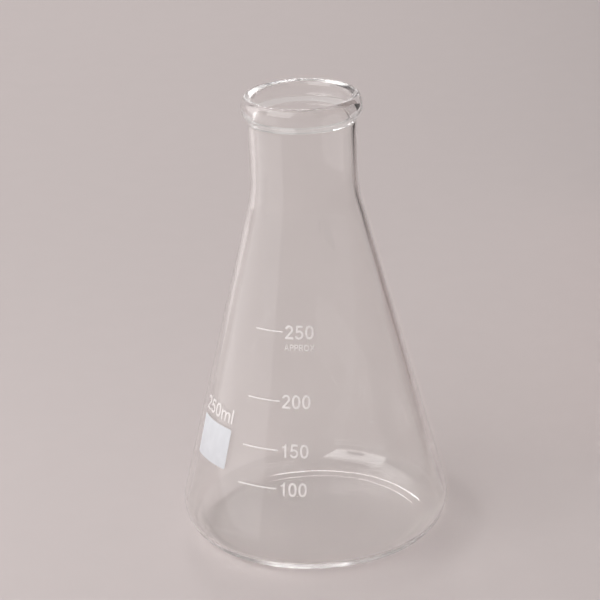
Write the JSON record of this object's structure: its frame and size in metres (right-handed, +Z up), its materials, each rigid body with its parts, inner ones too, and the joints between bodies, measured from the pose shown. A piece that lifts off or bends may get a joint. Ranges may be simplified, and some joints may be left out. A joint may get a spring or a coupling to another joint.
{
  "type": "erlenmeyer flask",
  "caption": "Conical glass flask with a beaded straight neck and flat base, for mixing and holding liquids, with a white enamel volume scale and a field to write on.",
  "frame": {"origin": "on the flask's axis, on the plane that it stands on", "axes": "+Z up along the flask's axis, -Y the front, with the scale just left of it, +X to the right of the front"},
  "size_m": [0.085, 0.085, 0.145],
  "materials": {
    "glass": "clear, fire polished",
    "enamel": "satin white print",
    "patch": "matt white print"
  },
  "bodies": {
    "root": {"glass_body": "glass", "line_250": "enamel", "digit_250_1": "enamel", "digit_250_2": "enamel", "digit_250_3": "enamel", "line_200": "enamel", "digit_200_1": "enamel", "digit_200_2": "enamel", "digit_200_3": "enamel", "line_150": "enamel", "digit_150_1": "enamel", "digit_150_2": "enamel", "digit_150_3": "enamel", "line_100": "enamel", "digit_100_1": "enamel", "digit_100_2": "enamel", "digit_100_3": "enamel", "note_letter_1": "enamel", "note_letter_2": "enamel", "note_letter_3": "enamel", "note_letter_4": "enamel", "note_letter_5": "enamel", "note_letter_6": "enamel", "capacity_letter_1": "enamel", "capacity_letter_2": "enamel", "capacity_letter_3": "enamel", "capacity_letter_4": "enamel", "capacity_letter_5": "enamel", "marking_patch": "patch"}
  },
  "joints": []
}
